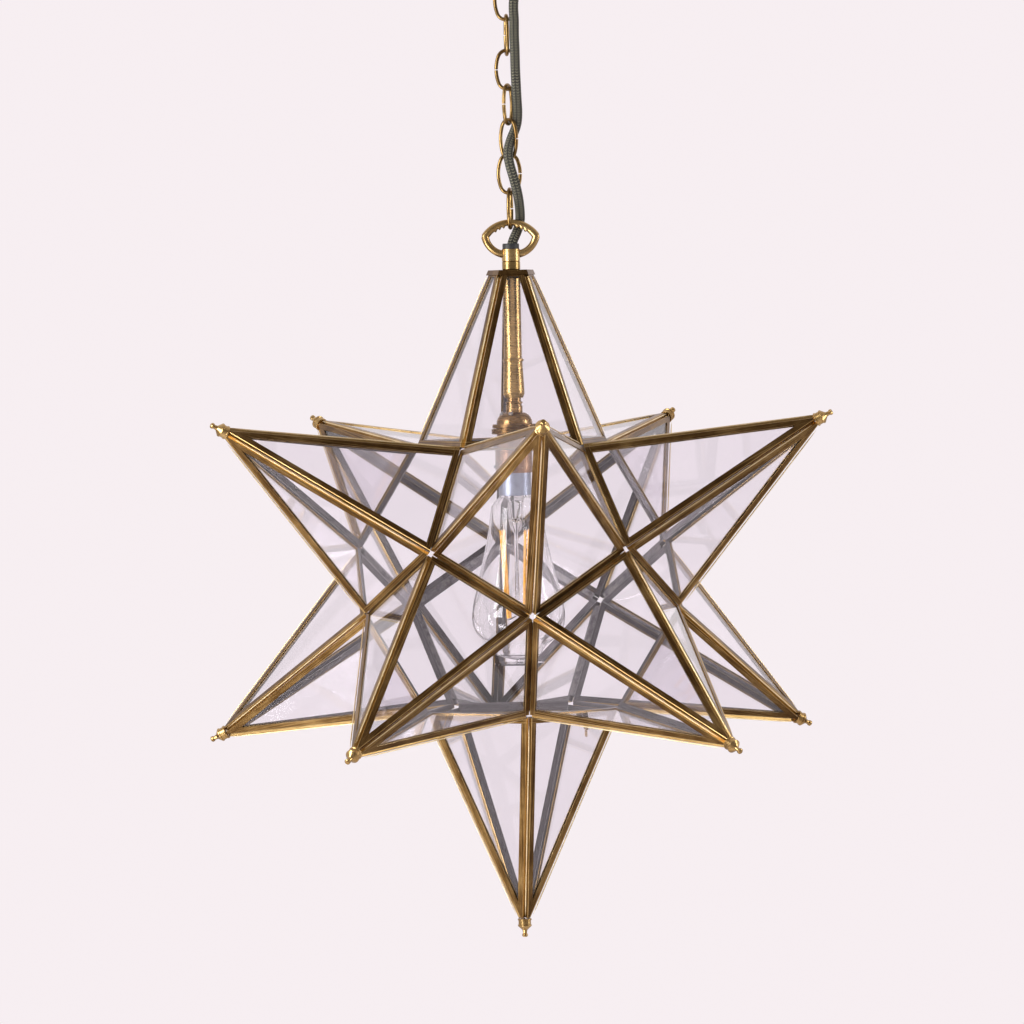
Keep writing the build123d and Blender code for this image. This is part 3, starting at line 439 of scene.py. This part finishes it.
# Painted highlight: the ridge beads are real metal, but their very pale tones paint the bright line of light
# along each ridge.
seam_highlight_brass = brass("seam_highlight_brass", (BRASS_PALE, (0.82, 0.66, 0.38), (0.95, 0.82, 0.54)), 0.34)
chain_brass = brass("chain_brass", (BRASS_BROWN, BRASS_MID, BRASS_LIGHT), 0.26)
HOLDER_TONES = (BRASS_BROWN, (0.250, 0.150, 0.060), (0.40, 0.26, 0.12))
holder_brass = brass("holder_brass", HOLDER_TONES, 0.26, RINGS, 0.006, 0.15)
SKIRT_TONES = (BRASS_BROWN, (0.250, 0.130, 0.075), (0.38, 0.23, 0.14))
skirt_brass = brass("skirt_brass", SKIRT_TONES, 0.30, RINGS, 0.006, 0.15)
steel = plain("plated_steel", (0.45, 0.44, 0.42), 0.32, metallic=1.0, vary=0.15)
pane_glass = clear_glass("pane_glass", (0.935, 0.918, 0.945), 0.05, 26.0)
lamp_glass = clear_glass("lamp_glass", (0.985, 0.985, 0.985), 0.03, 60.0)

NODE_FINISHES = {
    "ceiling_rose": stem_brass,
    "ceiling_plate": steel,
    "ceiling_hook": chain_brass,
    "rose_nuts": steel,
    "rose_ferrule": stem_brass,
    "rose_cord_bush": plain("moulded_black", (0.020, 0.018, 0.016), 0.35, grain=500.0),
    "terminal_block": plain("glazed_ceramic", (0.78, 0.76, 0.70), 0.22, grain=140.0, vary=0.06, bump=0.04),
    "terminal_screws": steel,
    "rose_tails": cotton_sheath(),
    "hanging_loop": cast_brass,
    "stem_collar": stem_brass,
    "cord_grommet": plain("black_rubber", (0.018, 0.018, 0.019), 0.50, grain=600.0, bump=0.25),
    "crown_cap": cap_brass,
    "stem_tube": stem_brass,
    "stem_sleeve": stem_brass,
    "holder_dome": holder_brass,
    "holder_screws": steel,
    "shade_rings": holder_brass,
    "holder_skirt": skirt_brass,
    "contact_plungers": turned,
    "plunger_springs": steel,
    "star_finials": turned,
    "door_finial": turned,
    "star_knuckles": turned,
    "door_knuckles": turned,
    "door_catch": turned,
    "hinge_pin": steel,
    "valley_solder": solder(),
    "lamp_cap": plain(
        "bright_cap", (0.31, 0.34, 0.41), 0.36, metallic=1.0, grain=260.0, vary=0.12, bump=0.05
    ),
    "lamp_wires": plain("nickel_wire", (0.16, 0.15, 0.14), 0.35, metallic=1.0),
    "lamp_filaments": filament_yellow(),
    "bulb_glass": lamp_glass,
    "lamp_mount": lamp_glass,
}
NODE_FINISHES["stem_flex"] = NODE_FINISHES["rose_tails"]
NODE_FINISHES["holder_insulator"] = NODE_FINISHES["rose_cord_bush"]
NODE_FINISHES["lamp_insulator"] = NODE_FINISHES["rose_cord_bush"]
FLAT_NODES = ("glass_top", "glass_upper", "glass_lower", "glass_door")
SHARP_ANGLE = math.radians(28)
WELD_REACH = 0.002 * MM


def smoothed(node):
    """Join a node's loose triangles and shade its round faces smoothly, up to the sharp angle."""
    node.data.polygons.foreach_set("use_smooth", np.ones(len(node.data.polygons), bool))
    weld = node.modifiers.new("weld", "WELD")
    weld.merge_threshold = WELD_REACH
    split = node.modifiers.new("edges", "EDGE_SPLIT")
    split.split_angle = SHARP_ANGLE


def dress_nodes():
    """Give every node of the frame its finish."""
    for name, node in frame["nodes"].items():
        finish = NODE_FINISHES.get(name)
        if finish is None:
            kind, _, place = name.partition("_")
            if kind == "glass":
                finish = pane_glass
            elif kind == "frame":
                finish = came_brass(f"came_{place}", POINT_AXES[place])
            else:
                finish = chain_brass
        node.data.materials.clear()
        node.data.materials.append(finish)
        if name not in FLAT_NODES and not name.startswith("frame_"):
            smoothed(node)


dress_nodes()

# ---- Beads of metal along the ridges, coloured pale gold as a painted highlight ----
SEAM_RADIUS = 0.42 * MM
SEAM_SUNK = 0.20 * MM
SEAM_START = 15.0 * MM             # from the apex to where the seams start
SEAM_TOP = {"top": 42.0 * MM}      # the same, where the crown cap covers more
SEAM_END = 6.0 * MM                # from the core's corner to where they end
SEAM_ROWS, SEAM_FACETS = 30, 8
SEAM_WAVES = ((37, 1, 0.05), (91, 2, 0.035))  # turn along a bead, turn from bead to bead, swell
SEAM_TAPER = (14, 0.15)            # how fast an end thickens, and how thick it starts
SAME_ANGLE = 0.01                  # play in comparing cosines


def ridge_seams(points, name):
    """A bead along each ridge of some points: its centre runs straight from apex to core corner, a little
    under the ridge. Its radius swells and thins by a twelfth, as two sines of unlike length."""
    tubes, faces = [], []
    axes = list(POINT_AXES.values())

    def beside(a, b):
        return abs(a.dot(b) - RING_RISE) < SAME_ANGLE

    for point in points:
        axis = POINT_AXES[point]
        near = [other for other in axes if beside(other, axis)]
        pairs = [(a, b) for k, a in enumerate(near) for b in near[k + 1 :] if beside(a, b)]
        for count, (first, second) in enumerate(pairs):
            corner = (axis + first + second).normalized()
            corner *= CORE_REACH / corner.dot(axis)
            apex = axis * POINT_REACH
            run = (corner - apex).normalized()
            out = (corner - corner.dot(axis) * axis).normalized()
            out = (out - out.dot(run) * run).normalized()
            lift = Vector((0, 0, STAR_Z)) - out * SEAM_SUNK
            start = apex + run * SEAM_TOP.get(point, SEAM_START) + lift
            end = corner - run * SEAM_END + lift
            share = np.linspace(0, 1, SEAM_ROWS)[:, None]
            path = np.array(start) * (1 - share) + np.array(end) * share
            place = share[:, 0]
            wave = sum(np.sin(turn * place + shift * count) * swell for turn, shift, swell in SEAM_WAVES)
            to_end = np.minimum(place, 1 - place)
            radius = SEAM_RADIUS * (1 + wave) * np.clip(SEAM_TAPER[0] * to_end + SEAM_TAPER[1], 0, 1)
            faces.append(grid_faces(SEAM_ROWS, SEAM_FACETS) + len(tubes) * SEAM_ROWS * SEAM_FACETS)
            tubes.append(swept_rings(path, radius, SEAM_FACETS, tuple(out)).reshape(-1, 3))
    mesh = bpy.data.meshes.new(name)
    mesh.from_pydata(np.concatenate(tubes).tolist(), [], np.concatenate(faces).tolist())
    mesh.polygons.foreach_set("use_smooth", np.ones(len(mesh.polygons), bool))
    mesh.materials.append(seam_highlight_brass)
    piece = bpy.data.objects.new(name, mesh)
    scene.collection.objects.link(piece)
    return piece


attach(ridge_seams([point for point in POINT_AXES if point != "door"], "ridge_seams"), "star")
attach(ridge_seams(["door"], "door_seams"), "door")

# ---- Cast surface of the hanging loop ----
LOOP_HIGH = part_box("hanging_loop")[1]
LOOP_FOOT = STAR_Z + 216.0 * MM    # foot of the barrel
# The rest is in millimetres. Places are sideways from the middle and up from the barrel's foot.
BAR_RADIUS = 2.15
BAR_SWELL = 0.55                   # growth of the bar's radius to its corners
BAR_TOP_INSET = 2.1                # from the top of the CAD loop to the bar's middle
CORNER_INSET, CORNER_RISE = 2.3, 17.2
ARM_BULGE = (14.9, 11.2)
ARM_FOOT = (4.6, 5.0)
ARM_RADIUS, ARM_END_SWELL = 2.45, 0.25
LOBES = (5.0, 8.1, 11.2)           # sideways places of the lobes
LOBE_REACH, LOBE_DEPTH = 1.5, 1.3
CAST_FLATTENING = 0.92             # depth of the bar over its height


def curve_through(start, middle, end, count):
    """Points on the circle through three places in the XZ plane, as the circle's centre plus its radius."""
    (ax, az), (bx, bz), (cx, cz) = start, middle, end
    twice = 2 * (ax * (bz - cz) + bx * (cz - az) + cx * (az - bz))
    a, b, c = ax * ax + az * az, bx * bx + bz * bz, cx * cx + cz * cz
    x = (a * (bz - cz) + b * (cz - az) + c * (az - bz)) / twice
    z = (a * (cx - bx) + b * (ax - cx) + c * (bx - ax)) / twice
    turns = np.unwrap([math.atan2(qz - z, qx - x) for qx, qz in (start, middle, end)])
    turn = np.linspace(turns[0], turns[2], count)
    radius = math.hypot(ax - x, az - z)
    return np.stack([x + radius * np.cos(turn), np.zeros(count), z + radius * np.sin(turn)], axis=-1)


def cast_loop():
    """The loop's bar and two arms as cast: round bars swept along arcs. Three rounded lobes a side hang
    under the bar, each a squared cosine. The bar thickens to its corners, and the arms to both ends."""
    rows, facets = 200, 24
    corner, corner_z = LOOP_HIGH.x - CORNER_INSET * MM, LOOP_FOOT + CORNER_RISE * MM
    top = (0.0, LOOP_HIGH.z - BAR_TOP_INSET * MM)
    bar = curve_through((-corner, corner_z), top, (corner, corner_z), rows)
    across = np.abs(bar[:, 0]) / MM
    lobes = sum(
        np.where(np.abs(across - at) < LOBE_REACH, np.cos((across - at) / LOBE_REACH * math.pi / 2) ** 2, 0.0)
        for at in LOBES
    )
    swell = BAR_SWELL * (across / across.max()) ** 1.5
    rings = swept_rings(bar, (BAR_RADIUS + swell) * MM, facets, (0, 1, 0))
    under = np.clip((bar[:, None, 2] - rings[..., 2]) / (BAR_RADIUS * MM), 0, 1)
    rings[..., 2] -= LOBE_DEPTH * MM * lobes[:, None] * under
    rings[..., 1] *= CAST_FLATTENING
    pieces = [grid_piece("loop_bar", rings)]
    for side in (-1, 1):
        bulge, arm_foot = (
            (side * across_it * MM, LOOP_FOOT + rise * MM) for across_it, rise in (ARM_BULGE, ARM_FOOT)
        )
        arm = curve_through((side * corner, corner_z), bulge, arm_foot, rows)
        share = np.linspace(0, 1, rows)
        arm_radius = (ARM_RADIUS + ARM_END_SWELL * (1 - share) ** 4 + ARM_END_SWELL * share**6) * MM
        pieces.append(grid_piece("loop_arm", swept_rings(arm, arm_radius, facets, (0, 1, 0))))
    for piece in pieces:
        piece.data.materials.append(cast_brass)
        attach(piece, "star")


cast_loop()

# ---- Flexible cord ----
CORD_RADIUS = 3.3 * MM
CORD_FREE_RISE = 219.0      # where it leaves the grommet, in millimetres above the star's centre
CORD_ROUTE = (              # right, back and up from the star's centre, in millimetres
    (0.0, 0.0, 227.0),
    (5.6, 5.9, 237.5),
    (7.3, 5.9, 243.5),
    (7.2, 3.7, 249.0),
    (6.4, -0.6, 255.5),
    (4.8, -5.9, 263.0),
    (2.4, -8.9, 272.0),
    (-0.2, -9.0, 281.0),
    (-1.4, -6.2, 290.0),
    (1.3, -1.6, 299.0),
    (5.8, 0.7, 308.0),
    (6.7, 0.1, 317.0),
    (6.0, -2.6, 326.0),
    (5.5, -5.3, 335.0),
    (5.1, -6.4, 344.0),
    (5.0, -6.6, 353.0),
    (5.0, -6.3, 362.0),
    (4.8, -5.9, 371.0),
    (5.1, -5.6, 380.0),
    (4.6, -5.3, 389.0),
    (5.6, -5.1, 398.0),
    (8.4, -4.9, 407.0),
    (12.0, -4.9, 415.0),
)
bush_low, bush_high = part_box("rose_cord_bush")
BUSH_AT = Vector(((bush_low.x + bush_high.x) / 2, (bush_low.y + bush_high.y) / 2, bush_low.z))
BUSH_LEAD = 7.5 * MM        # straight stretch under the bush
CHAIN_END_INSET = 10 * MM   # from the edges of the hook and the loop to where the cord follows them alone
CORD_FACETS = 48
CORD_STEP = 0.9 * MM


def cord_line():
    """The cord's smooth line, read from a spline whose control points are the route."""
    curve = bpy.data.curves.new("cord_line", "CURVE")
    curve.dimensions = "3D"
    points = [(0.0, 0.0, STAR_Z + CORD_FREE_RISE * MM)]
    points += [(x * MM, y * MM, STAR_Z + rise * MM) for x, y, rise in CORD_ROUTE]
    points += [(BUSH_AT.x, BUSH_AT.y, BUSH_AT.z - BUSH_LEAD), tuple(BUSH_AT)]
    spline = curve.splines.new("NURBS")
    spline.points.add(len(points) - 1)
    for point, place in zip(spline.points, points):
        point.co = (*place, 1.0)
    spline.order_u = 3
    spline.use_endpoint_u = True
    spline.resolution_u = 24
    holder = bpy.data.objects.new("cord_line", curve)
    scene.collection.objects.link(holder)
    bpy.context.view_layer.update()
    mesh = bpy.data.meshes.new_from_object(holder)
    line = np.empty(len(mesh.vertices) * 3)
    mesh.vertices.foreach_get("co", line)
    bpy.data.objects.remove(holder)
    bpy.data.meshes.remove(mesh)
    return line.reshape(-1, 3)


def along(line, step):
    """Points every step along a line, with the distance of each from its start."""
    lengths = np.linalg.norm(np.diff(line, axis=0), axis=1)
    reach = np.concatenate([[0.0], np.cumsum(lengths)])
    wanted = np.linspace(0.0, reach[-1], int(reach[-1] / step) + 1)
    return np.stack([np.interp(wanted, reach, line[:, axis]) for axis in range(3)], axis=-1), wanted


def braided_cord():
    """A round tube along the cord's line, with a map of u round it and v in metres along it."""
    path, reach = along(cord_line(), CORD_STEP)
    rings = swept_rings(path, CORD_RADIUS, CORD_FACETS, (0, 1, 0))
    piece = grid_piece("braided_flex", rings)
    mesh = piece.data
    corners = np.empty(len(mesh.loops), int)
    mesh.loops.foreach_get("vertex_index", corners)
    row, column = np.divmod(corners, CORD_FACETS)
    quads = (len(path) - 1) * CORD_FACETS
    beside = np.zeros(len(corners), bool)
    beside[: 4 * quads] = np.tile([False, True, True, False], quads)
    column = np.where(beside & (column == 0), CORD_FACETS, column)
    flat = np.stack([column / CORD_FACETS, reach[np.clip(row, 0, len(reach) - 1)]], axis=-1)
    mesh.uv_layers.new(name="braid").data.foreach_set("uv", flat.ravel().astype(np.float32))
    mesh.materials.append(braided_cotton())
    return piece, path, reach


def follow_chain(piece, path):
    """Let the cord bend with the chain: each ring follows the bodies on either side of its height."""
    bodies = ["ceiling", *(f"link_{number}" for number in range(1, LINK_COUNT + 1)), "star"]
    hook_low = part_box("ceiling_hook")[0]
    heights = np.array([hook_low.z + CHAIN_END_INSET, *LINK_Z, LOOP_HIGH.z - CHAIN_END_INSET])
    skeleton = bpy.data.armatures.new("cord_skeleton")
    rig = bpy.data.objects.new("cord_skeleton", skeleton)
    scene.collection.objects.link(rig)
    bpy.context.view_layer.objects.active = rig
    bpy.ops.object.mode_set(mode="EDIT")
    for body in bodies:
        bone = skeleton.edit_bones.new(body)
        bone.head, bone.tail = (0, 0, 0), (0, 1, 0)
        bone.roll = 0.0
    bpy.ops.object.mode_set(mode="OBJECT")
    for body in bodies:
        copy = rig.pose.bones[body].constraints.new("COPY_TRANSFORMS")
        copy.target = frame["bodies"][body]
    place = np.interp(-path[:, 2], -heights, np.arange(len(bodies)))
    lower = np.clip(np.floor(place).astype(int), 0, len(bodies) - 2)
    share = place - lower
    share = share * share * (3 - 2 * share)
    groups = [piece.vertex_groups.new(name=body) for body in bodies]
    for ring, (body, weight) in enumerate(zip(lower.tolist(), share.tolist())):
        members = list(range(ring * CORD_FACETS, (ring + 1) * CORD_FACETS))
        groups[body].add(members, 1.0 - weight, "REPLACE")
        groups[body + 1].add(members, weight, "REPLACE")
    caps = len(path) * CORD_FACETS
    groups[lower[0]].add([caps], 1.0 - float(share[0]), "REPLACE")
    groups[lower[0] + 1].add([caps], float(share[0]), "REPLACE")
    groups[0].add([caps + 1], 1.0, "REPLACE")
    follow = piece.modifiers.new("follow", "ARMATURE")
    follow.object = rig


flex, flex_path, flex_reach = braided_cord()
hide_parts("flex_cord")
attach(flex, "ceiling")
follow_chain(flex, flex_path)

# ---- Stage: floor, air and lamps ----
FLOOR_Z = -2.75
FLOOR_REACH = 14.0
FLOOR_GLOW = 0.45   # what the camera and the glass see of it besides its own light
PALE = (0.93, 0.86, 0.885)
FRONT_SHADE = 0.30  # how much of the surround the metal sees on the camera's side


def set_floor():
    """A wide pale floor, far below the star."""
    reach = FLOOR_REACH
    corners = ((-reach, -reach), (reach, -reach), (reach, reach), (-reach, reach))
    mesh = bpy.data.meshes.new("floor")
    mesh.from_pydata([(x, y, FLOOR_Z) for x, y in corners], [], [(0, 1, 2, 3)])
    floor = bpy.data.objects.new("floor", mesh)
    scene.collection.objects.link(floor)
    finish = Finish("floor_pale")
    finish.set(Base_Color=PALE, Roughness=0.9)
    ray = finish.node("ShaderNodeLightPath")
    seen = finish.maths("MAXIMUM", ray.outputs["Is Camera Ray"], ray.outputs["Is Transmission Ray"])
    glow = finish.node("ShaderNodeEmission")
    glow.inputs["Color"].default_value = (*PALE, 1.0)
    finish.link(finish.maths("MULTIPLY", seen, FLOOR_GLOW), glow.inputs["Strength"])
    both = finish.node("ShaderNodeAddShader")
    finish.link(finish.shader.outputs["BSDF"], both.inputs[0])
    finish.link(glow.outputs["Emission"], both.inputs[1])
    finish.link(both.outputs["Shader"], finish.output.inputs["Surface"])
    mesh.materials.append(finish.material)


def set_air():
    """A pale surround for the camera and the glass. The metal sees it darker on the camera's side."""
    world = bpy.data.worlds.new("air")
    world.use_nodes = True
    scene.world = world
    tree = world.node_tree
    tree.nodes.clear()

    def made(kind, **values):
        node = tree.nodes.new(kind)
        for key, value in values.items():
            if key in node.inputs:
                node.inputs[key].default_value = value
            else:
                setattr(node, key, value)
        return node

    direction = made("ShaderNodeSeparateXYZ")
    tree.links.new(made("ShaderNodeTexCoord").outputs["Generated"], direction.inputs["Vector"])
    spread = made("ShaderNodeMapRange")
    for key, value in (("From Min", -0.75), ("From Max", 0.35), ("To Min", FRONT_SHADE), ("To Max", 1.0)):
        spread.inputs[key].default_value = value
    tree.links.new(direction.outputs["Y"], spread.inputs["Value"])
    backdrop = made("ShaderNodeBackground", Color=(*PALE, 1), Strength=1.0)
    mirrored = made("ShaderNodeBackground", Color=(*PALE, 1))
    tree.links.new(spread.outputs["Result"], mirrored.inputs["Strength"])
    fill = made("ShaderNodeBackground", Color=(1.0, 0.97, 0.96, 1), Strength=0.55)
    ray = made("ShaderNodeLightPath")
    straight = made("ShaderNodeMath", operation="MAXIMUM")
    tree.links.new(ray.outputs["Is Camera Ray"], straight.inputs[0])
    tree.links.new(ray.outputs["Is Transmission Ray"], straight.inputs[1])
    gloss = made("ShaderNodeMixShader")
    tree.links.new(ray.outputs["Is Glossy Ray"], gloss.inputs["Fac"])
    tree.links.new(fill.outputs["Background"], gloss.inputs[1])
    tree.links.new(mirrored.outputs["Background"], gloss.inputs[2])
    mixed = made("ShaderNodeMixShader")
    tree.links.new(straight.outputs[0], mixed.inputs["Fac"])
    tree.links.new(gloss.outputs["Shader"], mixed.inputs[1])
    tree.links.new(backdrop.outputs["Background"], mixed.inputs[2])
    output = made("ShaderNodeOutputWorld")
    tree.links.new(mixed.outputs["Shader"], output.inputs["Surface"])


LAMPS = (
    # name, place, size across and up, power in watts
    ("window_side", (-2.6, -1.6, 0.35), (1.4, 1.8), 90.0),
    ("low_left", (-1.9, -1.7, -1.8), (1.0, 1.0), 52.0),
    ("right_strip", (2.4, -0.6, -0.1), (0.35, 1.6), 20.0),
)


def set_lamps():
    """Soft lamps that all face the star."""
    aim = Vector((0.0, 0.0, STAR_Z))
    for name, place, (across, up), power in LAMPS:
        data = bpy.data.lights.new(name, "AREA")
        data.shape = "RECTANGLE"
        data.size, data.size_y = across, up
        data.energy = power
        lamp = bpy.data.objects.new(name, data)
        scene.collection.objects.link(lamp)
        lamp.location = place
        lamp.rotation_mode = "QUATERNION"
        lamp.rotation_quaternion = (aim - Vector(place)).to_track_quat("-Z", "Y")
        lamp.visible_camera = False


set_floor()
set_air()
set_lamps()
scene.view_settings.view_transform = "Standard"
